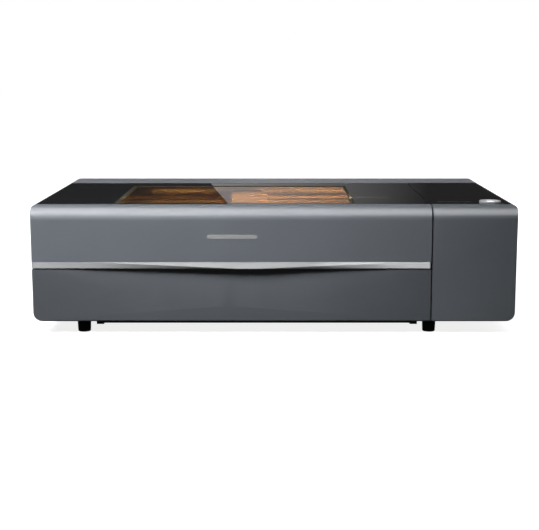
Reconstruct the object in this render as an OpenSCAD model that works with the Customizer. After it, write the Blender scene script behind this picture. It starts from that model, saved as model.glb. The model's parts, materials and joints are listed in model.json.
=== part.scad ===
// Desktop laser cutter: lidded cutting chamber, electronics cabinet, X/Y gantry and laser tube bay.
// Frame: X to the right, Y to the back, Z up, millimetres. The table is at Z = 0.

/* [Case] */
// Width of the case across its sides
body_w = 1000; // [1000:5:1040]
// Width of the electronics cabinet at the right
cabinet_w = 173.5; // [173.5:0.5:178]
// Thickness of the outer sheet
wall = 2.5; // [2:0.5:3]
// Radius of the long roll along the front top edge
front_roll = 30; // [26:1:32]
// Radius of the lower corners seen from the front
corner_r = 21; // [16:1:22]
// Depth of the finger scoop under the lid handle
scoop_depth = 14; // [8:1:15]

/* [Lid] */
// How far the middle of the lid handle stands out
lip_out = 6.5; // [4:0.5:8]
// Height of the lid handle strip
lip_h = 13; // [11:1:14]

/* [Chamber] */
// Number of slats in the bed
slat_count = 13; // [9:2:13]
// Radius of the exhaust collar that the hose slides over
collar_r = 50; // [48:1:51]

/* [Hidden] */

// Case planes
left = -body_w / 2;
right = body_w / 2;
front = -313;
back = 300;
bottom = 28;
top = 268;
seam_gap = 3;
cab_x = right - cabinet_w;          // left face of the cabinet
lid_x = cab_x - seam_gap;           // right face of the lid and of the lower front panel
glass_t = 4;
glass_z = top - glass_t;
glass_y = -270;                     // front edge of both glass panels
hinge_y = 171;
hinge_z = 263.6;
hinge_r = 4.2;
rear_y = 176;                       // front edge of the rear top cover
cover_z = 258;                      // lower edge of the rear top cover
lid_z = 140;                        // lower edge of the lid
lower_z = 137;                      // upper edge of the lower front panel
lip_x = -50;                        // middle of the flared part of the handle
side_r = 6;
plan_r = 5;
win_lo = [-335, -253];              // opening in the lid glass
win_hi = [169.5, 102.5];
hinge_xs = [-380, 240];
knuckle_w = 37;

// Chamber planes
chamber_l = left + 9;               // inner face of the left side frame
chamber_r = lid_x - 22.5;           // inner face of the right side frame
bulk_y = 172;                       // front face of the rear bulkhead
sheet = 3;
shelf_z = 190;
corner_z = bottom + 11;              // height at which the side frames clear the lower corners
rail_l = left + 60;
rail_r = lid_x - 38.5;
belt_l = left + 85;
belt_r = lid_x - 65.5;
drive_y = 150;
drive_z = 165;
idler_y = -268;
y_pulley_r = 9.55;
slot_lo = [-300, 110];              // rear pass-through slot, X and Z
slot_hi = [250, 140];
flap_y = back + 2.4;                // axis that the flap over the slot hangs from
flap_z = slot_hi.y + 7;
fan_x = -400;
fan_z = 98;
bay_z = 178;                        // floor of the laser tube bay
tube_y = 238;
beam_z = 214;                       // height of the laser beam path
mirror_x = left + 30;

// Gantry and head at rest
gantry_y = 125;
beam_lo = 212;
beam_hi = 231;
head_x = -63.5;
head_y = 80;                        // laser axis of the head
air_z = 148;                        // height of the air hose barb
x_pulley_x = 226;
x_idler_x = -400;
belt_z = 234;
x_pulley_r = 6.4;

// Bed
bed_lo = [-398, -282];
bed_hi = [238, 140];
tray_z = 70;
slat_z = 94;
slat_h = 14;

// Controls
button = [455, -234];
button_r = 22.5;
foot_r = 13.9;
foot_xs = [-400, 326];
foot_ys = [-273, 230];

// Colours
paint = [0.40, 0.42, 0.45];
dark = [0.10, 0.10, 0.11];
steel = [0.75, 0.76, 0.78];
sheet_grey = [0.62, 0.63, 0.65];

function drop(r, g) = max(r - g, 0.6);

module box3(lo, hi) {
    translate(lo) cube(hi - lo);
}

// Cylinder along X from x0 to x1
module rod_x(x0, x1, y, z, r, n = 48) {
    translate([x0, y, z]) rotate([0, 90, 0]) cylinder(r = r, h = x1 - x0, $fn = n);
}

// Cylinder along Y from y0 to y1
module rod_y(y0, y1, x, z, r, n = 64) {
    translate([x, y1, z]) rotate([90, 0, 0]) cylinder(r = r, h = y1 - y0, $fn = n);
}

// Cylinder along Z from z0 to z1
module rod_z(z0, z1, x, y, r, n = 48) {
    translate([x, y, z0]) cylinder(r = r, h = z1 - z0, $fn = n);
}

// What is left outside a quarter round of radius r in the corner at p that opens towards d
module corner_cut(p, d, r) {
    translate(p) scale_free(d) difference() {
        translate([-1, -1]) square(r + 1);
        translate([r, r]) circle(r, $fn = 96);
    }
}

// Turns the first quadrant into the one that d points to, without scaling
module scale_free(d) {
    mirror([d.x < 0 ? 1 : 0, 0]) mirror([0, d.y < 0 ? 1 : 0]) children();
}

// Rectangle with radii [lower left, lower right, upper right, upper left]
module round_rect(lo, hi, r) {
    difference() {
        translate(lo) square(hi - lo);
        corner_cut(lo, [1, 1], r[0]);
        corner_cut([hi.x, lo.y], [-1, 1], r[1]);
        corner_cut(hi, [-1, -1], r[2]);
        corner_cut([lo.x, hi.y], [1, -1], r[3]);
    }
}

// Outer form of the case, drawn in by g
module envelope(g = 0) {
    long = body_w + 100;
    intersection() {
        translate([0, long / 2, 0]) rotate([90, 0, 0]) linear_extrude(long)
            round_rect([left + g, bottom + g], [right - g, top - g],
                [drop(corner_r, g), drop(corner_r, g), drop(side_r, g), drop(side_r, g)]);
        translate([-long / 2, 0, 0]) rotate([90, 0, 90]) linear_extrude(long)
            round_rect([front + g, bottom + g], [back - g, top - g],
                [drop(4, g), drop(6, g), drop(12, g), drop(front_roll, g)]);
        linear_extrude(top + 50)
            round_rect([left + g, front + g], [right - g, back - g],
                [drop(plan_r, g), drop(plan_r, g), drop(plan_r, g), drop(plan_r, g)]);
    }
}

// The part of the outer sheet that lies inside the children
module skin() {
    intersection() {
        difference() {
            envelope();
            envelope(wall);
        }
        union() children();
    }
}

// ---- Case ----

module base_pan() {
    color(paint) skin() box3([left + 22, front + 7, bottom - 1], [right - 22, back - 7, bottom + 10]);
}

// Wide cylinder that leans back and shapes the finger scoop, drawn in by g
module scoop(g = 0) {
    half_w = 380;
    reach = lower_z - 60;
    r = (half_w * half_w + scoop_depth * scoop_depth) / (2 * scoop_depth);
    translate([(left + lid_x) / 2, front + scoop_depth, lower_z])
        rotate([-atan(scoop_depth / reach), 0, 0])
            translate([0, -r, -300]) cylinder(r = r + g, h = 600, $fn = 256);
}

module front_panel() {
    color(paint) difference() {
        union() {
            skin() box3([left - 1, front - 1, bottom - 1], [lid_x, front + 7, lower_z]);
            intersection() {
                scoop(wall);
                box3([left + 10, front + 1, 45], [lid_x - 10, front + 22, lower_z]);
            }
            intersection() {
                envelope();
                box3([left + 3, front - 1, lower_z - wall], [lid_x, front + 24, lower_z]);
            }
        }
        scoop();
    }
}

module left_side_panel() {
    color(paint) skin() {
        box3([left - 1, front + 7.5, bottom - 1], [left + 21.5, hinge_y + 1, lower_z]);
        box3([left - 1, hinge_y + 1, bottom - 1], [left + 21.5, back - 7.5, cover_z - 0.5]);
    }
}

module rear_panel() {
    color(paint) {
        difference() {
            skin() box3([left - 1, back - 7, bottom - 1], [right + 1, back + 1, cover_z - 0.5]);
            rod_y(back - 10, back + 5, fan_x, fan_z, collar_r - 2);
            box3([slot_lo.x, back - 10, slot_lo.y], [slot_hi.x, back + 5, slot_hi.y]);
            box3([385.5, back - 10, 67.5], [414.5, back + 5, 88.5]);
            box3([435.7, back - 10, 61.7], [462.3, back + 5, 94.3]);
            box3([349.7, back - 10, 69.7], [364.3, back + 5, 84.3]);
        }
        flap_lug(slot_lo.x - 12, 4);
        flap_lug(slot_hi.x + 7, -4);
    }
}

// Lug on the rear panel at x, with the short pin that the flap turns on
module flap_lug(x, pin_dx) {
    box3([x, back, slot_hi.y + 3], [x + 5, back + 6, slot_hi.y + 11]);
    rod_x(x + pin_dx, x + pin_dx + 5, flap_y, flap_z, 1.2, 32);
}

module rear_top_cover() {
    color(paint) skin() box3([left - 1, rear_y, cover_z], [right + 1, back + 1, top + 1]);
}

module cabinet_shell() {
    vents = 14;
    color(paint) difference() {
        skin() {
            box3([cab_x + wall, front - 1, bottom - 1], [right + 1, front + 7, top + 1]);
            box3([cab_x + wall, front - 1, 150], [right + 1, glass_y, top + 1]);
            box3([right - 21.5, front + 7, bottom - 1], [right + 1, rear_y - 0.5, glass_z]);
            box3([right - 21.5, rear_y - 0.5, bottom - 1], [right + 1, back - 7.5, cover_z - 0.5]);
        }
        for (i = [0:vents - 1])
            box3([right - 10, 30 + i * 11, 70], [right + 1, 35 + i * 11, 170]);
    }
}

// Dividing wall between the chamber and the cabinet, with the ring that carries the cabinet glass
module cabinet_frame() {
    color(paint) {
        intersection() {
            envelope();
            union() {
                box3([cab_x, front - 1, bottom + 3.2], [cab_x + wall, glass_y, top + 1]);
                box3([cab_x, glass_y - 1, bottom + 3.2], [cab_x + wall, bulk_y, glass_z]);
            }
        }
        difference() {
            box3([cab_x + wall, -285, 260], [right - 3.2, 174, glass_z]);
            box3([cab_x + 16, -205, 259], [right - 16, 160, glass_z + 1]);
            rod_z(258, glass_z + 1, button.x, button.y, button_r - 4);
        }
    }
}

module cabinet_glass() {
    color(dark) difference() {
        intersection() {
            envelope();
            box3([cab_x, glass_y, glass_z], [right + 1, rear_y - 0.5, top + 1]);
        }
        rod_z(glass_z - 1, top + 1, button.x, button.y, button_r + 0.3, 96);
    }
}

module button_ring() {
    color(steel) difference() {
        union() {
            rod_z(glass_z, top + 3, button.x, button.y, button_r, 96);
            rod_z(top + 3, top + 3.5, button.x, button.y, button_r - 0.6, 96);
        }
        rod_z(glass_z - 1, top + 5, button.x, button.y, button_r - 5.7, 96);
    }
}

module start_button() {
    color("white") {
        rod_z(glass_z - 0.5, top + 2.4, button.x, button.y, button_r - 6, 96);
        rod_z(250, glass_z - 0.5, button.x, button.y, 6);
    }
}

module bottom_plate() {
    tab = 15;
    color(dark) {
        difference() {
            box3([-370, front + 13, bottom - 5.5], [298, 250, bottom]);
            box3([-368, front + 15, bottom - 3.5], [296, 248, bottom + 1]);
        }
        for (x = [-370, 298 - tab])
            box3([x, front + 13, bottom - 8], [x + tab, front + 13 + tab, bottom - 5.5]);
    }
}

module rubber_feet() {
    chamfer = 2;
    color([0.08, 0.08, 0.08]) for (x = foot_xs, y = foot_ys) {
        translate([x, y, 0]) cylinder(r1 = foot_r - chamfer, r2 = foot_r, h = chamfer, $fn = 64);
        rod_z(chamfer, bottom, x, y, foot_r, 64);
    }
}

module lid_hinges() {
    color(steel) for (x = hinge_xs) {
        x0 = x - knuckle_w / 2;
        x1 = x + knuckle_w / 2;
        difference() {
            union() {
                rod_x(x0, x1, hinge_y, hinge_z, hinge_r);
                box3([x0, hinge_y, hinge_z - hinge_r], [x1, hinge_y + 7, hinge_z - hinge_r + 3]);
                box3([x0, bulk_y + sheet, 225], [x1, bulk_y + sheet + 3, hinge_z - hinge_r + 3]);
            }
            rod_x(x0 - 1, x1 + 1, hinge_y, hinge_z, 2);
        }
        rod_x(x - 44, x + 44, hinge_y, hinge_z, 2);
    }
}

module panel_screws() {
    color(dark) {
        for (x = [-470, -250, 0, 250, 470], z = [45, 240])
            rod_y(back, back + 1.6, x, z, 4, 32);
        for (x = [-340, -36, 268], y = [-260, 210])
            rod_z(bottom - 7, bottom - 5.5, x, y, 4, 32);
    }
}

// ---- Chamber ----

// Side frame with its inner face at x_in, standing on z0, and the shelf that reaches to x_shelf
module side_frame(x_in, x_shelf, z0) {
    x0 = min(x_in, x_in + (x_in < 0 ? -sheet : sheet));
    box3([x0, front + 27, z0], [x0 + sheet, bulk_y, shelf_z]);
    box3([min(x0, x_shelf), front + 27, shelf_z], [max(x0 + sheet, x_shelf), bulk_y, shelf_z + sheet]);
}

// Upright sheet from y0 to y1 whose lower left corner clears the rounded corner of the case
module cross_wall(y0, y1, x1, z1) {
    box3([chamber_l - sheet, y0, corner_z], [x1, y1, z1]);
    box3([left + 22, y0, bottom + wall], [x1, y1, corner_z + 1]);
}

module chamber_sides() {
    color(sheet_grey) {
        side_frame(chamber_l, left + 75, corner_z);
        side_frame(chamber_r, lid_x - 55.5, bottom + wall);
        cross_wall(front + 24, front + 27, chamber_r + sheet, lid_z + 12);
    }
}

// Wall behind the chamber and the floor of the tube bay, folded from one sheet
module rear_bulkhead() {
    color(sheet_grey) difference() {
        union() {
            cross_wall(bulk_y, bulk_y + sheet, cab_x - 0.5, 250);
            box3([chamber_l - sheet, bulk_y, bay_z], [right - 20, back - 7, bay_z + sheet]);
        }
        rod_y(bulk_y - 1, bulk_y + 5, mirror_x, beam_z, 8);
        box3([fan_x - 55, bulk_y - 1, fan_z - 55], [fan_x + 55, bulk_y + 4, fan_z + 55]);
        box3([slot_lo.x, bulk_y - 1, slot_lo.y], [slot_hi.x, bulk_y + 4, slot_hi.y]);
    }
}

module crumb_tray() {
    color(sheet_grey) {
        difference() {
            box3([bed_lo.x, bed_lo.y, tray_z], [bed_hi.x, bed_hi.y, slat_z - 6]);
            box3([bed_lo.x + 2, bed_lo.y + 2, tray_z + 2], [bed_hi.x - 2, bed_hi.y - 2, slat_z]);
        }
        difference() {
            box3([bed_lo.x, bed_lo.y, slat_z - 6], [bed_hi.x, bed_hi.y, slat_z]);
            box3([bed_lo.x + 16, bed_lo.y + 16, slat_z - 7], [bed_hi.x - 16, bed_hi.y - 16, slat_z + 1]);
        }
        for (x = [bed_lo.x + 20, bed_hi.x - 20], y = [bed_lo.y + 20, bed_hi.y - 20])
            rod_z(bottom + wall, tray_z, x, y, 8);
    }
}

// Knife-edged bars that the work rests on
module slats() {
    pitch = (bed_hi.x - bed_lo.x - 60) / (slat_count - 1);
    color(steel) for (i = [0:slat_count - 1])
        translate([bed_lo.x + 30 + i * pitch, bed_hi.y - 6, slat_z]) rotate([90, 0, 0])
            linear_extrude(bed_hi.y - bed_lo.y - 12)
                polygon([[-5, 0], [5, 0], [0.6, slat_h], [-0.6, slat_h]]);
}

module y_rails() {
    color(steel) for (x = [rail_l, rail_r])
        box3([x - 4, front + 33, shelf_z + sheet], [x + 4, bulk_y - 7, shelf_z + sheet + 10]);
}

// Flat belt loop of mean radius r between two pulleys, in the plane of its extrusion
module belt_loop(a, b, r, width) {
    half = 0.75;
    linear_extrude(width) difference() {
        union() {
            for (p = [a, b]) translate([p, 0]) circle(r + half, $fn = 64);
            translate([a, -r - half]) square([b - a, 2 * (r + half)]);
        }
        for (p = [a, b]) translate([p, 0]) circle(r - half, $fn = 64);
        translate([a, -r + half]) square([b - a, 2 * (r - half)]);
    }
}

module y_belts() {
    color(dark) for (x = [belt_l, belt_r])
        translate([x - 4, 0, drive_z]) rotate([90, 0, 90])
            belt_loop(idler_y, drive_y, y_pulley_r, 8);
}

// Brackets that hang under the shelves: bearings for the drive shaft and pins for the idlers
module shaft_brackets() {
    color(steel) for (s = [[left + 69, left + 73, 1], [lid_x - 53.5, lid_x - 49.5, -1]]) {
        difference() {
            box3([s[0], drive_y - 12, drive_z - 15], [s[1], drive_y + 12, shelf_z]);
            rod_x(s[0] - 1, s[1] + 1, drive_y, drive_z, 4.05);
        }
        box3([s[0], idler_y - 8, drive_z - 10], [s[1], idler_y + 8, shelf_z]);
        pin = s[2] > 0 ? [s[1], s[1] + 20] : [s[0] - 20, s[0]];
        rod_x(pin[0], pin[1], idler_y, drive_z, 3);
    }
}

// Toothed pulley along X for a belt 8 wide, centred on x
module y_pulley(x, y) {
    rod_x(x - 4.5, x + 4.5, y, drive_z, 8.6);
    for (dx = [-6, 4.5]) rod_x(x + dx, x + dx + 1.5, y, drive_z, 12);
}

module y_drive_shaft() {
    color(steel) {
        rod_x(left + 69, lid_x - 49.5, drive_y, drive_z, 4);
        y_pulley(belt_l, drive_y);
        y_pulley(belt_r, drive_y);
    }
}

module y_idler_pulleys() {
    color(steel) for (x = [belt_l, belt_r]) difference() {
        y_pulley(x, idler_y);
        rod_x(x - 10, x + 10, idler_y, drive_z, 3.05);
    }
}

// Square stepper motor along Z with its face at the top, centred on the origin
module stepper(depth) {
    half = 21;
    chamfer = 4;
    translate([0, 0, -depth]) linear_extrude(depth) intersection() {
        square(2 * half, center = true);
        rotate(45) square((2 * half - chamfer) * sqrt(2), center = true);
    }
}

module y_motor() {
    color(dark) translate([lid_x - 49, drive_y, drive_z]) rotate([0, -90, 0]) stepper(26.5);
}

// ---- Laser tube bay ----

module laser_tube() {
    tube_l = -430;
    tube_r = 330;
    color([0.85, 0.9, 0.95]) {
        difference() {
            rod_x(tube_l + 40, tube_r - 40, tube_y, beam_z, 25, 96);
            rod_x(tube_l + 43, tube_r - 43, tube_y, beam_z, 22.5, 96);
            rod_x(tube_l, tube_r, tube_y, beam_z, 9, 64);
        }
        difference() {
            rod_x(tube_l + 12, tube_r - 12, tube_y, beam_z, 9, 64);
            rod_x(tube_l, tube_r, tube_y, beam_z, 7, 64);
        }
        for (x = [tube_l, tube_r - 12]) difference() {
            rod_x(x, x + 12, tube_y, beam_z, 13, 64);
            rod_x(x - 1, x + 13, tube_y, beam_z, 4, 32);
        }
    }
}

module tube_clamps() {
    color([0.2, 0.35, 0.55]) for (x = [-250, 180]) difference() {
        union() {
            box3([x - 10, tube_y - 32, bay_z + sheet], [x + 10, tube_y + 32, beam_z]);
            rod_x(x - 10, x + 10, tube_y, beam_z, 29, 96);
        }
        rod_x(x - 11, x + 11, tube_y, beam_z, 25, 96);
    }
}

// Mirror disc with its plate, facing +X, centred on the beam
module mirror_set(plate_down, plate_up) {
    rod_x(-3, 0, 0, 0, 10);
    box3([-8, -14, -plate_down], [-3, 14, plate_up]);
}

module first_mirror() {
    color(steel) {
        translate([mirror_x, tube_y, beam_z]) rotate([0, 0, -45])
            mirror_set(beam_z - bay_z - sheet - 4, 14);
        box3([mirror_x - 18, tube_y - 18, bay_z + sheet], [mirror_x + 18, tube_y + 18, bay_z + sheet + 4]);
    }
}

module exhaust_duct() {
    half = 62;
    color(sheet_grey) difference() {
        box3([fan_x - half, bulk_y + sheet, fan_z - half], [fan_x + half, 259, fan_z + half]);
        box3([fan_x - half + 2, bulk_y, fan_z - half + 2], [fan_x + half - 2, 260, fan_z + half - 2]);
    }
}

// Axial fan housing along Z, with its motor seat held on four arms at the top
module fan_frame(depth) {
    difference() {
        translate([0, 0, depth / 2]) cube([120, 120, depth], center = true);
        translate([0, 0, -1]) cylinder(r = 56.5, h = depth + 2, $fn = 96);
    }
    for (a = [45:90:315]) rotate(a) translate([18, -3, depth - 4]) cube([39.5, 6, 4]);
    translate([0, 0, depth - 4]) cylinder(r = 20, h = 4, $fn = 64);
}

// Fan rotor along Z: hub and tilted blades
module fan_rotor(depth) {
    blades = 7;
    translate([0, 0, 4]) cylinder(r = 19.5, h = depth - 9, $fn = 64);
    for (i = [0:blades - 1]) rotate(i * 360 / blades)
        translate([18, 0, depth / 2 - 1]) rotate([38, 0, 0])
            translate([0, -13, -1]) cube([36, 26, 2]);
}

module exhaust_fan_frame() {
    color(dark) translate([fan_x, 259, fan_z]) rotate([-90, 0, 0]) fan_frame(back - wall - 259);
}

module exhaust_rotor() {
    color(dark) translate([fan_x, 259, fan_z]) rotate([-90, 0, 0]) fan_rotor(back - wall - 259);
}

module exhaust_collar() {
    color(dark) difference() {
        union() {
            rod_y(back, back + 2, fan_x, fan_z, collar_r + 9, 96);
            rod_y(back + 2, back + 19.5, fan_x, fan_z, collar_r, 96);
        }
        rod_y(back - 1, back + 21, fan_x, fan_z, collar_r - 2, 96);
    }
}

module rear_tunnel() {
    color(sheet_grey) difference() {
        box3([slot_lo.x - 3, bulk_y + sheet, slot_lo.y - 3], [slot_hi.x + 3, back - wall, slot_hi.y + 3]);
        box3([slot_lo.x, bulk_y, slot_lo.y], [slot_hi.x, back, slot_hi.y]);
    }
}

module rear_flap() {
    x0 = slot_lo.x - 6.5;
    x1 = slot_hi.x + 6.5;
    color(dark) difference() {
        union() {
            box3([x0, back + 1.5, slot_lo.y - 5], [x1, back + 4, flap_z]);
            rod_x(x0, x1, flap_y, flap_z, 2.1);
        }
        for (x = [x0 - 1, x1 - 4]) rod_x(x, x + 5, flap_y, flap_z, 1.25, 32);
    }
}

// Mains socket with three pins, moulded with the frame of the power switch
module power_inlet() {
    color(dark) {
        difference() {
            union() {
                box3([378, back, 59], [465, back + 2, 97]);
                box3([386, back - 30, 68], [414, back, 88]);
                box3([436, back - 20, 62], [462, back, 94]);
            }
            box3([388, back - 18, 70], [412, back + 3, 86]);
            box3([438.5, back - 17, 65], [459.5, back + 3, 91]);
            rod_x(436.5, 461.5, back - 8, 78, 1.55, 32);
        }
        for (x = [393, 400, 407]) box3([x - 1, back - 19, 76], [x + 1, back - 3, 80]);
    }
}

module usb_port() {
    color(steel) difference() {
        box3([350, back - 15, 70], [364, back + 1, 84]);
        box3([352.5, back - 9, 72.5], [361.5, back + 2, 81.5]);
    }
}

module power_rocker() {
    tilt = 8;
    color([0.75, 0.1, 0.08]) translate([439, back - 8, 78]) rotate([tilt, 0, 0]) {
        rotate([90, 0, 90]) linear_extrude(20)
            polygon([[-4, -9], [9, -10.2], [7, 0], [9, 10.2], [-4, 9]]);
        rod_x(-1.8, 21.8, 0, 0, 1.5, 32);
    }
}

// ---- Cabinet contents ----

module coolant_tank() {
    color([0.85, 0.87, 0.9]) {
        difference() {
            union() {
                box3([345, -150, bottom + wall], [477, 20, 150]);
                rod_z(150, 160, 415, -60, 16);
            }
            box3([348, -147, bottom + wall + 3], [474, 17, 147]);
            rod_z(140, 161, 415, -60, 13);
        }
        difference() {
            rod_z(152, 166, 415, -60, 19);
            rod_z(151, 161, 415, -60, 16.2);
        }
        rod_z(bottom + wall, 80, 380, 60, 22);
    }
}

module radiator() {
    x0 = right - 38;
    fins = 22;
    color([0.3, 0.32, 0.33]) {
        for (z = [60, 172]) box3([x0, 45, z], [x0 + 28, 165, z + 8]);
        for (i = [0:fins - 1]) box3([x0, 48 + i * 5.4, 68], [x0 + 28, 49 + i * 5.4, 172]);
        translate([x0 - 26, 105, 120]) rotate([0, 90, 0]) fan_frame(25.8);
    }
}

module radiator_rotor() {
    color(dark) translate([right - 64, 105, 120]) rotate([0, 90, 0]) fan_rotor(25.8);
}

module hv_power_supply() {
    color(sheet_grey) difference() {
        box3([345, -285, bottom + wall], [477, -165, 118]);
        box3([347, -283, bottom], [475, -167, 116]);
        for (i = [0:9]) box3([355, -280 + i * 11, 115], [467, -276 + i * 11, 119]);
    }
}

module main_board() {
    color([0.05, 0.35, 0.2]) {
        box3([cab_x + 8, -130, 165], [cab_x + 9.6, 30, 250]);
        for (y = [-124, 24], z = [171, 244]) rod_x(cab_x + wall, cab_x + 8, y, z, 3, 24);
        for (i = [0:3]) box3([cab_x + 9.6, -115 + i * 34, 180], [cab_x + 20, -97 + i * 34, 200]);
        box3([cab_x + 9.6, -60, 212], [cab_x + 12, -30, 240]);
    }
}

// Straight hose lengths through a list of points, joined by block elbow fittings
module hose(points, r) {
    for (i = [0:len(points) - 2]) {
        d = points[i + 1] - points[i];
        turn = atan2(norm([d.x, d.y]), d.z);
        translate(points[i]) rotate([0, turn, atan2(d.y, d.x)])
            cylinder(r = r, h = norm(d), $fn = 24);
        if (i > 0) translate(points[i]) cube(2 * r + 4, center = true);
    }
}

module coolant_hoses() {
    color([0.55, 0.75, 0.95]) {
        hose([[345, 198, 192], [300, 198, 192], [-372, 198, 192], [-372, 198, 214], [-372, 212.8, 214]], 4);
        hose([[372, 275, 192], [310, 275, 192], [272, 275, 214], [272, 263.2, 214]], 4);
    }
}

// ---- Lid ----

module lid_shell() {
    color(paint) {
        difference() {
            skin() {
                box3([left - 1, front - 1, lid_z + lip_h], [lid_x - wall, glass_y, top + 1]);
                box3([left - 1, front + 7, lid_z], [left + 10, hinge_y - 3, glass_z]);
            }
            box3([left - 1, front + 7, lid_z - 1], [left + 10, front + 7.5, lid_z + lip_h]);
        }
        intersection() {
            envelope();
            union() {
                box3([lid_x - wall, front - 1, lid_z + lip_h], [lid_x, glass_y, top + 1]);
                box3([lid_x - wall, front + 7, lid_z], [lid_x, hinge_y - 3, glass_z]);
            }
        }
    }
}

// Structural ring under the glass, with the rounded rear rail that carries the hinge bores
module lid_inner_frame() {
    x0 = left + 3.3;
    x1 = lid_x - 3.2;
    lip = 6.5;
    color(dark) difference() {
        union() {
            box3([x0, -285, 260], [x1, hinge_y, glass_z]);
            box3([x0 + 3, front + front_roll + 1, glass_z], [x1, glass_y - 0.4, top - wall]);
            rod_x(x0, x1, hinge_y, hinge_z, hinge_r);
            box3([win_lo.x - 8, win_lo.y - 8, 257], [win_hi.x + 8, win_hi.y + 8, 260]);
            box3([x0, -285, 248], [x1, -281, 260]);
        }
        box3([win_lo.x + lip, win_lo.y + lip, 250], [win_hi.x - lip, win_hi.y - lip, glass_z + 1]);
        for (x = hinge_xs) {
            box3([x - 19, hinge_y - 5, 255], [x + 19, hinge_y + 6, glass_z + 5]);
            rod_x(x - 46, x + 46, hinge_y, hinge_z, 2.06);
        }
    }
}

module lid_glass() {
    color(dark) difference() {
        intersection() {
            envelope();
            box3([left - 1, glass_y, glass_z], [lid_x, hinge_y - 4.7, top + 1]);
        }
        box3([win_lo.x, win_lo.y, glass_z - 1], [win_hi.x, win_hi.y, top + 1]);
    }
}

module lid_window() {
    color([0.75, 0.4, 0.1, 0.6])
        box3([win_lo.x + 0.4, win_lo.y + 0.4, glass_z], [win_hi.x - 0.4, win_hi.y - 0.4, top - 0.2]);
}

// Share of the handle's full flare at x: 1 in the middle, falling evenly to 0 at both ends
function flare(x) = max(0, min(1, 1.1 - abs(x - lip_x) / 300));

// Section of the handle at x, in Y and Z, from the top of its flange down the front and back
function lip_section(x) =
    let (g = flare(x), z1 = lid_z + lip_h, lean = lip_out * g)
    [[front + 2 * wall, z1 + 17], [front + wall, z1 + 17], [front + wall, z1], [front, z1],
     [front - lean, z1 - 0.5 - (lip_h - 1.5) * g], [front - lean * g * g, lid_z],
     [front + 15, lid_z], [front + 15, lid_z + 2], [front + 2 * wall, lid_z + 2]];

// Polished strip along the lower front edge of the lid, with its inner flange and return
module lid_handle() {
    steps = 72;
    x0 = left + 5.5;
    xs = [for (i = [0:steps]) x0 + (lid_x - wall - x0) * i / steps];
    n = len(lip_section(0));
    points = [for (x = xs) for (p = lip_section(x)) [x, p[0], p[1]]];
    sides = [for (i = [0:steps - 1], j = [0:n - 1])
        for (t = [[i * n + j, i * n + (j + 1) % n, (i + 1) * n + (j + 1) % n],
                  [i * n + j, (i + 1) * n + (j + 1) % n, (i + 1) * n + j]]) t];
    cap = [[0, 1, 2], [0, 2, 8], [2, 3, 4], [2, 4, 8], [4, 5, 8], [5, 6, 7], [5, 7, 8]];
    first = [for (t = cap) [t[2], t[1], t[0]]];
    last = [for (t = cap) [steps * n + t[0], steps * n + t[1], steps * n + t[2]]];
    color("silver") {
        polyhedron(points, concat(sides, first, last));
        intersection() {
            envelope();
            box3([left - 1, front - 1, lid_z], [x0, front + 7.4, lid_z + lip_h]);
        }
    }
}

module badge_plate() {
    color(steel) translate([0, front, 0]) rotate([90, 0, 0]) linear_extrude(0.8)
        round_rect([-137.5, 201], [-35, 210], [4.4, 4.4, 4.4, 4.4]);
}

module lid_camera() {
    color(dark) {
        box3([250, -200, 250], [290, -160, 260]);
        rod_z(246, 250, 270, -180, 8);
    }
}

module cabin_light() {
    color("white") box3([-320, -281, 252], [150, -272, 260]);
}

// ---- Gantry ----

module gantry_beam() {
    color(steel) {
        difference() {
            box3([left + 45, gantry_y - 15, beam_lo], [lid_x - 24.5, gantry_y + 15, beam_hi]);
            box3([left, gantry_y - 12.5, beam_lo + 2.5], [lid_x, gantry_y + 12.5, beam_hi - 2.5]);
            rod_z(beam_lo - 1, beam_hi + 1, x_pulley_x, gantry_y, 5);
        }
        box3([x_idler_x - 12, gantry_y - 21, 216], [x_pulley_x + 8, gantry_y - 15, 226]);
        rod_z(beam_hi, belt_z + 9, x_idler_x, gantry_y, 2.5);
    }
}

// Truck that straddles a Y rail, with its arm and jaw over the Y belt
module truck(x, belt_x) {
    y0 = gantry_y - 25;
    difference() {
        box3([x - 12, y0, shelf_z + 6], [x + 12, y0 + 50, beam_lo]);
        box3([x - 4.3, y0 - 1, shelf_z], [x + 4.3, y0 + 51, shelf_z + sheet + 10.3]);
    }
    inner = belt_x > x ? x + 12 : x - 12;
    box3([min(inner, belt_x - 4), y0 + 18, shelf_z + 9], [max(inner, belt_x + 4), y0 + 32, shelf_z + 13]);
    box3([belt_x - 4, y0 + 18, drive_z + y_pulley_r + 1.1], [belt_x + 4, y0 + 32, shelf_z + 9]);
}

module gantry_trucks() {
    color([0.25, 0.26, 0.28]) {
        truck(rail_l, belt_l);
        truck(rail_r, belt_r);
        box3([mirror_x - 16, head_y - 18, 206], [rail_l + 12, gantry_y - 25, 209]);
        translate([mirror_x, head_y, beam_z]) rotate([0, 0, 45]) mirror_set(beam_z - 209, 14);
    }
}

module x_motor() {
    color(dark) translate([x_pulley_x, gantry_y, beam_lo]) stepper(34);
}

module x_belt() {
    color(dark) translate([0, gantry_y, belt_z]) belt_loop(x_idler_x, x_pulley_x, x_pulley_r, 6);
}

// Small pulley along Z for a belt 6 wide
module x_pulley(x) {
    rod_z(belt_z - 0.4, belt_z + 6.4, x, gantry_y, 5.5);
    for (z = [belt_z - 1.9, belt_z + 6.4]) rod_z(z, z + 1.5, x, gantry_y, 8.5);
}

module x_motor_pulley() {
    color(steel) {
        x_pulley(x_pulley_x);
        rod_z(beam_lo + 0.5, belt_z, x_pulley_x, gantry_y, 2.5);
    }
}

module x_idler_pulley() {
    color(steel) difference() {
        x_pulley(x_idler_x);
        rod_z(belt_z - 3, belt_z + 9, x_idler_x, gantry_y, 2.55);
    }
}

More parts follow.
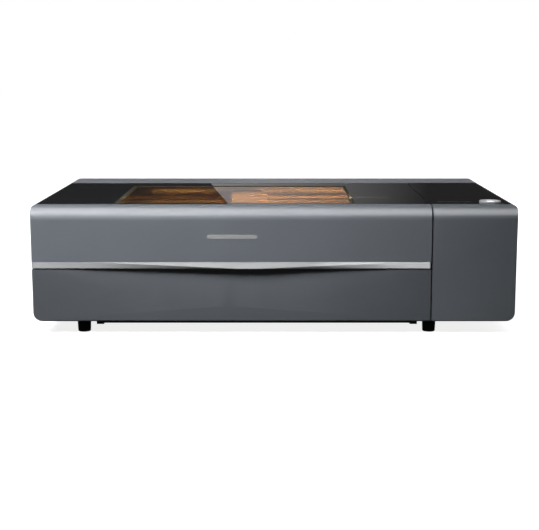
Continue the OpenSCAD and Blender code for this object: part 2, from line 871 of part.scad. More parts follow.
// Laser head: housing, rail carriage with belt jaws, and the 45 degree mirror seat
module head_body() {
    y1 = gantry_y - 25;
    color([0.16, 0.16, 0.17]) {
        difference() {
            box3([head_x - 33, head_y - 26, 172], [head_x + 33, y1, 254]);
            rod_z(171, 232, head_x, head_y, 12.3, 64);
            rod_x(head_x - 40, head_x, head_y, beam_z, 5, 32);
        }
        difference() {
            box3([head_x - 25, y1, 208], [head_x + 25, gantry_y - 16, 229]);
            box3([head_x - 26, gantry_y - 21.3, 215.7], [head_x + 26, gantry_y, 226.3]);
        }
        box3([head_x - 12, y1, 229], [head_x + 12, y1 + 4, 246]);
        box3([head_x - 12, y1 + 4, 241], [head_x + 12, gantry_y - 2, 246]);
        for (y = [gantry_y - 10.6, gantry_y - 5.3]) box3([head_x - 12, y, 233.5], [head_x + 12, y + 3, 241]);
    }
    color(steel) {
        difference() {
            box3([head_x - 35.2, head_y - 30, 238.5], [head_x + 35.2, head_y - 20, 256]);
            box3([head_x - 33, head_y - 26, 230], [head_x + 33, head_y - 10, 254]);
        }
        intersection() {
            rod_z(200, 232, head_x, head_y, 12.3, 64);
            translate([head_x, head_y, beam_z]) rotate([0, 45, 0]) box3([-30, -15, 0], [30, 15, 40]);
        }
    }
}

module focus_tube() {
    color(steel) difference() {
        union() {
            rod_z(135, 196, head_x, head_y, 12, 64);
            rod_z(135, 141, head_x, head_y, 15, 64);
            rod_x(head_x - 24, head_x, head_y, air_z, 3, 24);
        }
        rod_z(134, 197, head_x, head_y, 8, 64);
        rod_x(head_x - 25, head_x - 14, head_y, air_z, 1.8, 24);
    }
}

module focus_lens() {
    color([0.9, 0.75, 0.4]) rod_z(152, 155, head_x, head_y, 8, 64);
}

module nozzle() {
    color([0.8, 0.62, 0.3]) difference() {
        translate([head_x, head_y, 125]) cylinder(r1 = 3, r2 = 10, h = 10, $fn = 64);
        translate([head_x, head_y, 124]) cylinder(r1 = 1, r2 = 7, h = 11.1, $fn = 64);
    }
}

base_pan();
front_panel();
left_side_panel();
rear_panel();
rear_top_cover();
cabinet_shell();
cabinet_frame();
cabinet_glass();
button_ring();
start_button();
chamber_sides();
rear_bulkhead();
bottom_plate();
rubber_feet();
lid_hinges();
crumb_tray();
slats();
y_rails();
y_belts();
shaft_brackets();
y_motor();
y_drive_shaft();
y_idler_pulleys();
laser_tube();
tube_clamps();
first_mirror();
exhaust_duct();
exhaust_fan_frame();
exhaust_rotor();
exhaust_collar();
rear_tunnel();
rear_flap();
power_inlet();
usb_port();
power_rocker();
panel_screws();
coolant_tank();
radiator();
radiator_rotor();
hv_power_supply();
main_board();
coolant_hoses();
lid_shell();
lid_inner_frame();
lid_glass();
lid_window();
lid_handle();
badge_plate();
lid_camera();
cabin_light();
gantry_beam();
gantry_trucks();
x_motor();
x_belt();
x_motor_pulley();
x_idler_pulley();
head_body();
focus_tube();
focus_lens();
nozzle();
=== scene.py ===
"""Desktop laser cutter: the looks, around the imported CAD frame. Lengths are in metres."""
import json
import math

import bmesh
import bpy
from mathutils import Matrix, Vector


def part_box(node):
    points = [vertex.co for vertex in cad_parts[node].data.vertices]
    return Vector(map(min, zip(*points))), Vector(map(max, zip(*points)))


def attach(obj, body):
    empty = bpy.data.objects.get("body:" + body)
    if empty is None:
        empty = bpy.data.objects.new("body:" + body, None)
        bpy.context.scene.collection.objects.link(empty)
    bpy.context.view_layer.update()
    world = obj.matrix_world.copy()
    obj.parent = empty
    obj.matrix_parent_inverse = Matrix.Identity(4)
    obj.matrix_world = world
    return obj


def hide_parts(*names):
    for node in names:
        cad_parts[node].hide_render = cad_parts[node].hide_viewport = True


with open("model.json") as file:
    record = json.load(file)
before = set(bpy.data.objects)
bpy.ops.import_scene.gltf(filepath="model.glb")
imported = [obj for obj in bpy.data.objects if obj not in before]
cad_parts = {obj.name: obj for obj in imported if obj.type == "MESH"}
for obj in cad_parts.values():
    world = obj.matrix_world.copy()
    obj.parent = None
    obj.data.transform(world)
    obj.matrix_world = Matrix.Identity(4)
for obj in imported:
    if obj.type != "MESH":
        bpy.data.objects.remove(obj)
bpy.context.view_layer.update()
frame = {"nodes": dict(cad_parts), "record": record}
nodes = frame["nodes"]
scene = bpy.context.scene

MM = 0.001

# The camera that was fitted to the outline: metres, millimetres of lens, degrees
CAMERA_PLACE = (0, -2.685, 0.553)
CAMERA_DOWN = 9.71
CAMERA_LENS = 78.11

# The studio
CARD_Y = 3.0                     # the reflected cards stand this far behind
EDGE_WIDTH = 0.4 * MM            # rounding of the CAD pieces' edges
WARM = (1, 0.88, 0.66)           # colour of the chamber lamps

# Sizes of the pieces built here, in millimetres
FOOT_X = (-400, 326)
FOOT_Y = (-273, 230)
PRINT_LEFT = 12                  # widths of the print round the pane
PRINT_RIGHT = 6.5
PRINT_REAR = 22
PRINT_THICK = 0.15
COVER_X = (-99.5, -15.5)         # head cover: width, height and front face
COVER_Z = (234, 251.5)
COVER_FRONT = 49.2
COVER_FLANGE = 5.5


# ---------------------------------------------------------------- camera and studio

def make_camera():
    """The photograph's viewpoint: in front, a little above, looking slightly down."""
    data = bpy.data.cameras.new("camera")
    data.lens = CAMERA_LENS
    data.sensor_width = 36
    data.shift_x = -0.0085
    data.clip_end = 80
    camera = bpy.data.objects.new("camera", data)
    camera.location = CAMERA_PLACE
    camera.rotation_euler = (math.radians(90 - CAMERA_DOWN), 0, 0)
    scene.collection.objects.link(camera)
    scene.camera = camera


def link(name, mesh):
    """A new object that shows mesh."""
    piece = bpy.data.objects.new(name, mesh)
    scene.collection.objects.link(piece)
    return piece


def quad(name, corners):
    """A single face through four corners, for the stage."""
    mesh = bpy.data.meshes.new(name)
    mesh.from_pydata([tuple(c) for c in corners], [], [(0, 1, 2, 3)])
    return link(name, mesh)


def softbox(name, place, aim, size, watts, colour=(1, 1, 1), spread=None, glossy=True):
    """A rectangular light that faces aim; spread in degrees narrows it, like a grid."""
    data = bpy.data.lights.new(name, "AREA")
    data.shape = "RECTANGLE"
    data.size, data.size_y = size
    data.energy = watts
    data.color = colour
    if spread:
        data.spread = math.radians(spread)
    light = bpy.data.objects.new(name, data)
    light.visible_glossy = glossy
    light.location = place
    light.rotation_euler = (Vector(aim) - Vector(place)).to_track_quat("-Z", "Y").to_euler()
    scene.collection.objects.link(light)
    return light


def emission_material(name, colour, strength):
    """An even glow; gives the material and its emission node."""
    mat = bpy.data.materials.new(name)
    mat.use_nodes = True
    tree = mat.node_tree
    tree.nodes.clear()
    glow = tree.nodes.new("ShaderNodeEmission")
    glow.inputs["Color"].default_value = (*colour, 1)
    glow.inputs["Strength"].default_value = strength
    out = tree.nodes.new("ShaderNodeOutputMaterial")
    tree.links.new(glow.outputs[0], out.inputs[0])
    return mat, glow


def seen_by(stage_object, camera=False, diffuse=False, glossy=False):
    """Which rays meet a stage object; it never casts a shadow."""
    stage_object.visible_camera = camera
    stage_object.visible_diffuse = diffuse
    stage_object.visible_glossy = glossy
    stage_object.visible_transmission = False
    stage_object.visible_shadow = False


def make_world():
    """Near-black surroundings, so that only the lights and cards are reflected."""
    world = bpy.data.worlds.new("studio")
    scene.world = world
    world.use_nodes = True
    background = world.node_tree.nodes["Background"]
    background.inputs["Color"].default_value = (0.020, 0.021, 0.022, 1)


def make_floor():
    """Pale floor that glows a little more with distance, so that it ends in white."""
    floor = quad("floor", [(-20, -20, 0), (20, -20, 0), (20, 20, 0), (-20, 20, 0)])
    paint = bpy.data.materials.new("floor_paint")
    paint.use_nodes = True
    shader = paint.node_tree.nodes["Principled BSDF"]
    shader.inputs["Base Color"].default_value = (0.3, 0.3, 0.3, 1)
    shader.inputs["Roughness"].default_value = 0.9
    shader.inputs["Specular IOR Level"].default_value = 0.0
    shader.inputs["Emission Color"].default_value = (1, 1, 1, 1)
    place = paint.node_tree.nodes.new("ShaderNodeTexCoord")
    length = paint.node_tree.nodes.new("ShaderNodeVectorMath")
    length.operation = "LENGTH"
    rise = paint.node_tree.nodes.new("ShaderNodeMapRange")
    rise.inputs["From Min"].default_value = 0.75
    rise.inputs["From Max"].default_value = 1.7
    rise.inputs["To Min"].default_value = 0.84
    rise.inputs["To Max"].default_value = 1.0
    paint.node_tree.links.new(place.outputs["Object"], length.inputs[0])
    paint.node_tree.links.new(length.outputs["Value"], rise.inputs["Value"])
    paint.node_tree.links.new(rise.outputs[0], shader.inputs["Emission Strength"])
    floor.data.materials.append(paint)
    floor.visible_glossy = False
    floor.visible_diffuse = False


def make_surround():
    """White dome that only the camera sees."""
    mesh = bpy.data.meshes.new("surround")
    shape = bmesh.new()
    bmesh.ops.create_uvsphere(shape, u_segments=48, v_segments=24, radius=24)
    shape.to_mesh(mesh)
    shape.free()
    surround = link("surround", mesh)
    surround.data.materials.append(emission_material("surround_white", (1, 1, 1), 1.0)[0])
    seen_by(surround, camera=True)


def make_cards():
    """Two cards far behind that only reflections meet; the upper one gives the veil on the glass."""
    left_low, left_high, right = -0.309, -0.105, 1.2
    low, high = 0.55, 0.80
    corners = [(left_low, CARD_Y, low), (right, CARD_Y, low)]
    corners += [(right, CARD_Y, high), (left_high, CARD_Y, high)]
    card = quad("veil_card", corners)
    mat, glow = emission_material("veil", (1, 0.985, 0.985), 1.0)
    tree = mat.node_tree
    place = tree.nodes.new("ShaderNodeTexCoord")
    split = tree.nodes.new("ShaderNodeSeparateXYZ")
    fade = tree.nodes.new("ShaderNodeMapRange")
    fade.inputs["From Min"].default_value = 0.75
    fade.inputs["From Max"].default_value = -0.35
    fade.inputs["To Min"].default_value = 0.022
    fade.inputs["To Max"].default_value = 0.36
    tree.links.new(place.outputs["Object"], split.inputs[0])
    tree.links.new(split.outputs["X"], fade.inputs["Value"])
    tree.links.new(fade.outputs[0], glow.inputs["Strength"])
    card.data.materials.append(mat)
    seen_by(card, glossy=True)

    side, low, high = 1.6, 0.1, 0.54
    corners = [(-side, CARD_Y, low), (side, CARD_Y, low)]
    corners += [(side, CARD_Y, high), (-side, CARD_Y, high)]
    low_card = quad("low_card", corners)
    low_card.data.materials.append(emission_material("low_card_grey", (0.96, 0.98, 1), 0.66)[0])
    seen_by(low_card, glossy=True)


def make_lights():
    """Studio lights, then three lamps inside the chamber that light its rear wall."""
    softbox("overhead", (-0.2, -0.95, 2.35), (0, -0.25, 0.25), (3.4, 2.5), 30)
    softbox(
        "left_front", (-1.25, -1.5, 1.95), (-0.42, -0.3, 0.18), (1.5, 1.3), 22,
        spread=54, glossy=False,
    )
    softbox(
        "front_wash", (-0.55, -0.85, 0.80), (-0.45, -0.31, 0.26), (1.5, 0.25), 2.6,
        spread=60, glossy=False,
    )
    softbox("right_fill", (2.4, 0.4, 1.2), (0.4, 0, 0.15), (1.5, 1.5), 14, glossy=False)
    softbox("back_fill", (0.3, 2.0, 2.2), (0, 0.2, 0.25), (3, 1.6), 125, glossy=False)
    chamber = [
        ("chamber_right", (0.13, -0.16, 0.247), (0.10, 0.17, 0.23), (0.24, 0.05), 7.4),
        ("chamber_middle", (-0.06, -0.16, 0.247), (-0.06, 0.05, 0.245), (0.08, 0.04), 0.8),
        ("chamber_left", (-0.30, -0.16, 0.247), (-0.34, 0.17, 0.22), (0.12, 0.05), 0.62),
    ]
    for name, place, aim, size, watts in chamber:
        lamp = softbox(name, place, aim, size, watts, WARM, spread=90, glossy=False)
        lamp.visible_camera = False
        lamp.visible_transmission = False


# ---------------------------------------------------------------- materials

ALONG_X = (0.004, 1, 1)          # noise stretched along X
ROUND_Z = (1, 1, 0.02)           # noise stretched along the upright axis


class Surface:
    """A Principled material with helpers for procedural detail in object space."""

    def __init__(self, name, colour, roughness, **sockets):
        self.mat = bpy.data.materials.new(name)
        self.mat.use_nodes = True
        self.tree = self.mat.node_tree
        self.shader = self.tree.nodes["Principled BSDF"]
        self.colour = colour
        self.set("Base Color", (*colour, 1))
        self.set("Roughness", roughness)
        for socket, value in sockets.items():
            self.set(socket.replace("_", " ").title().replace("Ior", "IOR"), value)
        self.place = self.tree.nodes.new("ShaderNodeTexCoord")

    def set(self, socket, value):
        """Sets one of the shader's own inputs."""
        self.shader.inputs[socket].default_value = value

    def noise(self, scale, stretch=(1, 1, 1), detail=3.0):
        """Noise factor; stretch makes it longer along an axis where it is small."""
        mapping = self.tree.nodes.new("ShaderNodeMapping")
        mapping.inputs["Scale"].default_value = stretch
        texture = self.tree.nodes.new("ShaderNodeTexNoise")
        texture.inputs["Scale"].default_value = scale
        texture.inputs["Detail"].default_value = detail
        self.tree.links.new(self.place.outputs["Object"], mapping.inputs["Vector"])
        self.tree.links.new(mapping.outputs["Vector"], texture.inputs["Vector"])
        return texture.outputs["Fac"]

    def spread(self, factor, low, high):
        """Maps the usual range of a noise factor to low..high."""
        ramp = self.tree.nodes.new("ShaderNodeMapRange")
        ramp.inputs["From Min"].default_value = 0.3
        ramp.inputs["From Max"].default_value = 0.7
        ramp.inputs["To Min"].default_value = low
        ramp.inputs["To Max"].default_value = high
        self.tree.links.new(factor, ramp.inputs["Value"])
        return ramp.outputs[0]

    def vary_colour(self, factor, amount):
        """Lightens and darkens the base colour by up to amount."""
        mix = self.tree.nodes.new("ShaderNodeMix")
        mix.data_type = "RGBA"
        mix.inputs["A"].default_value = (*[c * (1 - amount) for c in self.colour], 1)
        mix.inputs["B"].default_value = (*[min(c * (1 + amount), 1) for c in self.colour], 1)
        self.tree.links.new(self.spread(factor, 0, 1), mix.inputs["Factor"])
        self.tree.links.new(mix.outputs["Result"], self.shader.inputs["Base Color"])
        return self

    def vary_roughness(self, factor, low, high):
        """Roughness between low and high."""
        self.tree.links.new(self.spread(factor, low, high), self.shader.inputs["Roughness"])
        return self

    def paint_light_along_x(self, stops):
        """Paints light and shade into the base colour: multiplies it by a factor given at places
        along X, in metres.
        """
        split = self.tree.nodes.new("ShaderNodeSeparateXYZ")
        self.tree.links.new(self.place.outputs["Object"], split.inputs[0])
        first, last = stops[0][0], stops[-1][0]
        along = self.tree.nodes.new("ShaderNodeMapRange")
        along.inputs["From Min"].default_value = first
        along.inputs["From Max"].default_value = last
        self.tree.links.new(split.outputs["X"], along.inputs["Value"])
        ramp = self.tree.nodes.new("ShaderNodeValToRGB")
        while len(ramp.color_ramp.elements) < len(stops):
            ramp.color_ramp.elements.new(0.5)
        for element, (x, factor) in zip(ramp.color_ramp.elements, stops):
            element.position = (x - first) / (last - first)
            element.color = (factor, factor, factor, 1)
        self.tree.links.new(along.outputs[0], ramp.inputs["Fac"])
        mix = self.tree.nodes.new("ShaderNodeMix")
        mix.data_type = "RGBA"
        mix.blend_type = "MULTIPLY"
        mix.inputs["Factor"].default_value = 1
        base = self.shader.inputs["Base Color"]
        self.tree.links.new(base.links[0].from_socket, mix.inputs["A"])
        self.tree.links.new(ramp.outputs["Color"], mix.inputs["B"])
        self.tree.links.new(mix.outputs["Result"], base)
        return self

    def bump(self, factor, strength, distance):
        """Relief of the given depth, in metres."""
        node = self.tree.nodes.new("ShaderNodeBump")
        node.inputs["Strength"].default_value = strength
        node.inputs["Distance"].default_value = distance
        self.tree.links.new(factor, node.inputs["Height"])
        self.tree.links.new(node.outputs["Normal"], self.shader.inputs["Normal"])
        return self


def painted_metal(name, colour, roughness=0.33):
    """Satin powder coat over metal: fine orange peel, faint mottling."""
    s = Surface(name, colour, roughness, metallic=0.2, ior=1.9, coat_weight=1.0)
    s.set("Coat IOR", 2.2)
    s.set("Coat Roughness", 0.3)
    s.vary_colour(s.noise(9, detail=5), 0.045)
    s.vary_roughness(s.noise(35, detail=4), roughness - 0.04, roughness + 0.05)
    s.bump(s.noise(1400, detail=2), 0.18, 0.00006)
    return s.mat


def black_glass():
    """Polished black glass with faint smears."""
    s = Surface("black_glass", (0.0045, 0.0045, 0.0048), 0.015, ior=1.5)
    s.vary_roughness(s.noise(6, detail=6), 0.008, 0.02)
    s.vary_colour(s.noise(20), 0.1)
    return s.mat


def amber_glass():
    """Clear orange pane."""
    s = Surface("amber_glass", (0.95, 0.45, 0.13), 0.0, ior=1.45, transmission_weight=1.0)
    s.vary_colour(s.noise(4), 0.05)
    return s.mat


def brushed(name, colour, roughness, stretch, fine=2600, depth=0.35, metallic=1.0, streak=1.0):
    """Brushed metal: streaks run along the axis where stretch is small."""
    s = Surface(name, colour, roughness, metallic=metallic)
    s.vary_colour(s.noise(fine * 0.25, stretch, 4), 0.12 * streak)
    low, high = roughness - 0.08 * streak, roughness + 0.1 * streak
    s.vary_roughness(s.noise(fine * 0.5, stretch, 3), low, high)
    s.bump(s.noise(fine, stretch, 4), depth, 0.00012)
    return s.mat


def handle_metal():
    """Brushed handle with painted light in its colour: painted shade darkens the flared middle, and a
    painted reflection makes its right end brightest.
    """
    s = Surface("brushed_trim", (0.46, 0.47, 0.48), 0.5, metallic=0.1)
    s.vary_colour(s.noise(650, ALONG_X, 4), 0.12)
    s.vary_roughness(s.noise(1300, ALONG_X, 3), 0.42, 0.6)
    s.bump(s.noise(2600, ALONG_X, 4), 0.35, 0.00012)
    # Painted light: painted shade in the flared middle, painted reflection towards the right end.
    s.paint_light_along_x([(-0.5, 0.46), (-0.3, 0.33), (0.08, 0.33), (0.22, 0.75), (0.33, 0.96)])
    return s.mat


def sheet_metal(name, colour, roughness=0.42):
    """Zinc or mill-finish sheet: cloudy colour and rolling marks."""
    s = Surface(name, colour, roughness, metallic=0.35)
    s.vary_colour(s.noise(14, detail=6), 0.06)
    s.vary_roughness(s.noise(30, (0.3, 1, 1), 5), roughness - 0.1, roughness + 0.12)
    s.bump(s.noise(120, (0.1, 1, 1), 3), 0.02, 0.0001)
    return s.mat


def matt_sheet(name, colour):
    """Matt coated sheet: faint clouding and a fine grain."""
    s = Surface(name, colour, 0.65)
    s.vary_colour(s.noise(12, detail=4), 0.03)
    s.vary_roughness(s.noise(40, detail=4), 0.6, 0.72)
    s.bump(s.noise(1500, detail=2), 0.1, 0.00005)
    return s.mat


def moulded_plastic(name, colour, roughness=0.5, grain=900):
    """Moulded plastic with a spark-eroded grain."""
    s = Surface(name, colour, roughness, ior=1.46)
    s.vary_colour(s.noise(25), 0.1)
    s.vary_roughness(s.noise(60, detail=4), roughness - 0.06, roughness + 0.08)
    s.bump(s.noise(grain, detail=3), 0.3, 0.0001)
    return s.mat


def rubber():
    """Dull moulded rubber."""
    s = Surface("rubber", (0.012, 0.012, 0.013), 0.6, ior=1.5)
    s.vary_colour(s.noise(40), 0.25)
    s.vary_roughness(s.noise(80), 0.5, 0.75)
    s.bump(s.noise(700), 0.4, 0.00015)
    return s.mat


def lit_plastic(name, colour, strength, roughness=0.4):
    """Diffuser plastic with light behind it."""
    s = Surface(name, colour, roughness)
    s.vary_roughness(s.noise(50), roughness - 0.05, roughness + 0.1)
    s.vary_colour(s.noise(80), 0.03)
    s.set("Emission Color", (*colour, 1))
    s.set("Emission Strength", strength)
    return s.mat


def clear_glass(name, colour):
    """Tinted glass or clear hose."""
    s = Surface(name, colour, 0.03, ior=1.47, transmission_weight=0.95)
    s.vary_roughness(s.noise(12, detail=5), 0.01, 0.06)
    s.vary_colour(s.noise(8), 0.03)
    return s.mat


def circuit_board():
    """Green solder mask with paler copper areas under it."""
    s = Surface("circuit_board", (0.01, 0.09, 0.035), 0.35)
    cells = s.tree.nodes.new("ShaderNodeTexBrick")
    cells.inputs["Scale"].default_value = 90
    cells.inputs["Color1"].default_value = (0.01, 0.10, 0.04, 1)
    cells.inputs["Color2"].default_value = (0.012, 0.13, 0.05, 1)
    cells.inputs["Mortar"].default_value = (0.03, 0.20, 0.08, 1)
    cells.inputs["Mortar Size"].default_value = 0.03
    s.tree.links.new(s.place.outputs["Object"], cells.inputs["Vector"])
    s.tree.links.new(cells.outputs["Color"], s.shader.inputs["Base Color"])
    s.vary_roughness(s.noise(60), 0.25, 0.5)
    return s.mat


# One material for each of the record's slots
PALETTE = {
    "case_paint": painted_metal("case_paint", (0.098, 0.107, 0.121)),
    "cabinet_panel": painted_metal("cabinet_paint", (0.092, 0.100, 0.112)),
    "black_glass": black_glass(),
    "amber_window": amber_glass(),
    "brushed_trim": handle_metal(),
    "button_ring": brushed("button_ring", (0.36, 0.37, 0.38), 0.42, ROUND_Z, 900, 0.05, 0.4),
    "button_cap": lit_plastic("button_cap", (0.9, 0.92, 0.95), 0.35),
    "black_plastic": moulded_plastic("black_plastic", (0.016, 0.016, 0.017)),
    "rubber": rubber(),
    "zinc_sheet": sheet_metal("zinc_sheet", (0.17, 0.175, 0.18)),
    "aluminium": brushed("aluminium", (0.18, 0.184, 0.19), 0.5, ALONG_X, 1600, 0.004, 0.2, 0.25),
    "dark_aluminium": moulded_plastic("dark_aluminium", (0.022, 0.022, 0.024), 0.36, 1500),
    "steel": brushed("steel", (0.26, 0.26, 0.265), 0.3, ALONG_X, 1600, 0.05, metallic=0.6),
    "motor_black": moulded_plastic("motor_black", (0.02, 0.02, 0.022), 0.42),
    "belt_rubber": moulded_plastic("belt_rubber", (0.09, 0.085, 0.078), 0.6),
    "tube_glass": clear_glass("tube_glass", (0.93, 0.96, 0.98)),
    "clamp_blue": moulded_plastic("clamp_blue", (0.04, 0.10, 0.22)),
    "duct_sheet": sheet_metal("duct_sheet", (0.22, 0.225, 0.235)),
    "switch_red": moulded_plastic("switch_red", (0.42, 0.016, 0.012), 0.28),
    "tank_plastic": moulded_plastic("tank_plastic", (0.66, 0.69, 0.73), 0.4),
    "radiator_metal": sheet_metal("radiator_metal", (0.10, 0.105, 0.11)),
    "psu_metal": sheet_metal("psu_metal", (0.27, 0.27, 0.275)),
    "board_green": circuit_board(),
    "hose": clear_glass("hose", (0.55, 0.72, 0.9)),
    "light_white": lit_plastic("light_white", (1.0, 0.93, 0.82), 4.0),
    "lens": clear_glass("lens", (0.9, 0.72, 0.38)),
    "brass": brushed("brass", (0.60, 0.42, 0.17), 0.25, ROUND_Z, 1200, 0.15),
}

# Variants of a slot's material for single pieces
PRINT = moulded_plastic("window_print", (0.020, 0.017, 0.011), 0.85, 1500)
PRINT.node_tree.nodes["Principled BSDF"].inputs["Specular IOR Level"].default_value = 0.1
# Painted shade: a darker copy of the case paint for the lower front panel, which wears the same paint
# as the case.
LOWER_PANEL_PAINTED_SHADE = painted_metal("lower_panel_painted_shade", (0.064, 0.070, 0.079))
BRIGHT_SHEET = matt_sheet("bright_sheet", (0.21, 0.215, 0.22))
COVER_SHEET = matt_sheet("cover_sheet", (0.29, 0.30, 0.31))

SLOT_OF = {s["node"]: s["material_slot"] for s in frame["record"]["subparts"]}


def dress(piece, slot):
    """Gives a piece the material of a slot."""
    piece.data.materials.clear()
    piece.data.materials.append(PALETTE[slot])


def soften_edges(piece, width, segments=2, angle=32):
    """Weld, small bevel and weighted normals, so edges catch the light as folded metal does."""
    for face in piece.data.polygons:
        face.use_smooth = True
    weld = piece.modifiers.new("weld", "WELD")
    weld.merge_threshold = 0.00002
    bevel = piece.modifiers.new("bevel", "BEVEL")
    bevel.width = width
    bevel.segments = segments
    bevel.limit_method = "ANGLE"
    bevel.angle_limit = math.radians(angle)
    bevel.use_clamp_overlap = True
    normals = piece.modifiers.new("normals", "WEIGHTED_NORMAL")
    normals.keep_sharp = True


# ---------------------------------------------------------------- pieces built here

def lathe(name, centre, profile, segments=96):
    """A turned piece about the vertical axis at centre; profile lists (radius, height) pairs."""
    shape = bmesh.new()
    rings = []
    for radius, height in profile:
        if radius < 1e-6:
            rings.append([shape.verts.new((centre[0], centre[1], height))])
            continue
        ring = []
        for step in range(segments):
            turn = 2 * math.pi * step / segments
            x = centre[0] + radius * math.cos(turn)
            y = centre[1] + radius * math.sin(turn)
            ring.append(shape.verts.new((x, y, height)))
        rings.append(ring)
    for lower, upper in zip(rings, rings[1:]):
        for step in range(segments):
            after = (step + 1) % segments
            corners = [lower[step % len(lower)], lower[after % len(lower)]]
            corners += [upper[after % len(upper)], upper[step % len(upper)]]
            corners = list(dict.fromkeys(corners))
            if len(corners) > 2:
                shape.faces.new(corners)
    bmesh.ops.recalc_face_normals(shape, faces=shape.faces)
    return finish_mesh(name, shape)


def finish_mesh(name, shape):
    """Turns the bmesh into an object with smooth faces."""
    mesh = bpy.data.meshes.new(name)
    shape.to_mesh(mesh)
    shape.free()
    for face in mesh.polygons:
        face.use_smooth = True
    return link(name, mesh)


def boxes(name, spans):
    """One piece of several boxes, each given by its low and high corners in millimetres."""
    shape = bmesh.new()
    for low, high in spans:
        size = [(b - a) * MM for a, b in zip(low, high)]
        middle = [(a + b) / 2 * MM for a, b in zip(low, high)]
        matrix = Matrix.Translation(middle) @ Matrix.Diagonal((*size, 1))
        bmesh.ops.create_cube(shape, size=1, matrix=matrix)
    return finish_mesh(name, shape)


def own_piece(piece, body, slot, bevel=0.0, replaces=(), material=None):
    """Dresses a new piece, rounds its edges and lets it ride on a body."""
    dress(piece, slot)
    if material:
        piece.data.materials[0] = material
    if bevel:
        soften_edges(piece, bevel)
    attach(piece, body)
    if replaces:
        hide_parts(*replaces)


def round_over(radius, height, r, steps=6):
    """Quarter round on the outer top edge of a turned piece."""
    out = []
    for step in range(steps + 1):
        turn = math.pi / 2 * step / steps
        out.append((radius - r + r * math.cos(turn), height - r + r * math.sin(turn)))
    return out


def make_button():
    """Silver ring standing just proud of the glass, domed cap with a lit centre."""
    low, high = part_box("button_ring")
    centre = ((low.x + high.x) / 2, (low.y + high.y) / 2)
    outer = (high.x - low.x) / 2
    inner = outer - 5.6 * MM
    ring = [(inner, low.z), (outer, low.z)]
    ring += round_over(outer, high.z, 1.6 * MM)
    ring += [(inner + 1.2 * MM, high.z), (inner + 0.4 * MM, high.z - 0.5 * MM)]
    ring += [(inner, high.z - 1.5 * MM), (inner, low.z)]
    turned = lathe("button_ring_turned", centre, ring)
    own_piece(turned, "case", "button_ring", replaces=["button_ring"])

    low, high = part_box("start_button")
    radius = (high.x - low.x) / 2
    face = high.z
    cap = [(0, low.z), (6 * MM, low.z), (6 * MM, face - 8 * MM), (radius, face - 8 * MM)]
    cap += round_over(radius, face - 0.9 * MM, 0.8 * MM)
    cap += [(radius - 2.4 * MM, face - 0.9 * MM), (radius - 3 * MM, face - 1.6 * MM)]
    cap += [(radius - 6 * MM, face - 1.6 * MM), (radius - 6.6 * MM, face - 1.0 * MM)]
    cap += [(0, face - 1.0 * MM)]
    turned = lathe("button_cap_turned", centre, cap)
    own_piece(turned, "start_button", "button_ring", replaces=["start_button"])

    dome = radius - 6.8 * MM
    bulge = []
    for step in range(9):
        turn = step * math.pi / 16
        bulge.append((dome * math.cos(turn), face - (1.0 - math.sin(turn)) * MM))
    own_piece(lathe("button_lit_centre", centre, bulge), "start_button", "button_cap")


def make_feet():
    """Four slightly tapered rubber feet, hollowed a little underneath."""
    spots = [(x, y) for x in FOOT_X for y in FOOT_Y]
    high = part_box("rubber_feet")[1]
    radius = high.x - FOOT_X[1] * MM
    for index, (x, y) in enumerate(spots):
        edge = [(0, 0.0004), (radius - 3.4 * MM, 0.0004), (radius - 3 * MM, 0)]
        edge += [(radius - 2.2 * MM, 0), (radius - 1.2 * MM, 0.4 * MM), (radius - 0.7 * MM, 1.4 * MM)]
        edge += [(radius - 0.2 * MM, 12 * MM), (radius, 16 * MM), (radius, high.z - 1 * MM)]
        edge += [(radius - 0.8 * MM, high.z), (0, high.z)]
        foot = lathe(f"rubber_foot_{index + 1}", (x * MM, y * MM), edge, 64)
        own_piece(foot, "case", "rubber", replaces=["rubber_feet"] if index == 0 else [])


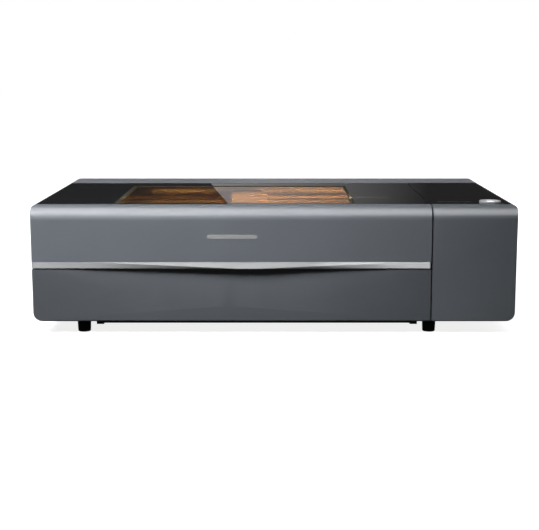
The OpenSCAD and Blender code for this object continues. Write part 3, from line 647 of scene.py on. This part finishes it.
def make_window_print():
    """Dark print on the pane along its left, right and rear edges."""
    low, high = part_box("lid_window")
    x0, y0, x1, y1 = (v / MM for v in (low.x, low.y, high.x, high.y))
    z = high.z / MM
    top = z + PRINT_THICK
    rim = [((x0, y0, z), (x0 + PRINT_LEFT, y1, top))]
    rim.append(((x1 - PRINT_RIGHT, y0, z), (x1, y1, top)))
    rim.append(((x0 + PRINT_LEFT, y1 - PRINT_REAR, z), (x1 - PRINT_RIGHT, y1, top)))
    own_piece(boxes("window_print", rim), "lid", "black_plastic", material=PRINT)


def make_status_line():
    """Faint bar on the cabinet's glass, left of the button."""
    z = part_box("cabinet_glass")[1].z / MM
    line = boxes("status_line", [((345, -230, z - 0.1), (416, -226.5, z + 0.12))])
    own_piece(line, "case", "dark_aluminium")


def make_painted_shadow_blocks():
    """Painted shadow: dark blocks at the back left of the chamber, just in front of the rear wall,
    put where there is only shade.
    """
    blocks = [((-347, 163, 236), (-300, 171.5, 250)), ((-352, 163, 222), (-318, 171.5, 240))]
    own_piece(boxes("painted_shadow_blocks", blocks), "case", "black_plastic", bevel=0.6 * MM)


def make_head_cover():
    """Folded cover on the front of the head, with a raised flange at each side."""
    x0, x1 = COVER_X
    z0, z1 = COVER_Z
    back = COVER_FRONT + 0.8
    plate = [((x0, COVER_FRONT, z0), (x1, back, z1)), ((x0, COVER_FRONT, z1), (x1, 56, z1 + 0.8))]
    cover = boxes("head_cover", plate)
    own_piece(cover, "laser_head", "zinc_sheet", bevel=0.3 * MM, material=COVER_SHEET)

    inner = (x0 + COVER_FLANGE, x1 - COVER_FLANGE)
    flanges = [((x0, 46.5, z0), (inner[0], 49.6, z1)), ((inner[1], 46.5, z0), (x1, 49.6, z1))]
    flanges.append(((inner[0], 48, z1 - 2), (inner[1], 49.6, z1)))
    raised = boxes("head_cover_flanges", flanges)
    own_piece(raised, "laser_head", "aluminium", bevel=0.3 * MM, material=COVER_SHEET)


make_camera()
make_world()
make_floor()
make_surround()
make_cards()
make_lights()

for name, piece in nodes.items():
    dress(piece, SLOT_OF[name])
    for attribute in list(piece.data.attributes):
        if attribute.name == "custom_normal":
            piece.data.attributes.remove(attribute)
    soften_edges(piece, EDGE_WIDTH)

# Painted shade: the lower front panel gets the darker copy of the case paint.
nodes["front_panel"].data.materials[0] = LOWER_PANEL_PAINTED_SHADE
nodes["rear_bulkhead"].data.materials[0] = BRIGHT_SHEET

make_button()
make_feet()
make_window_print()
make_status_line()
make_painted_shadow_blocks()
make_head_cover()

scene.view_settings.view_transform = "Standard"
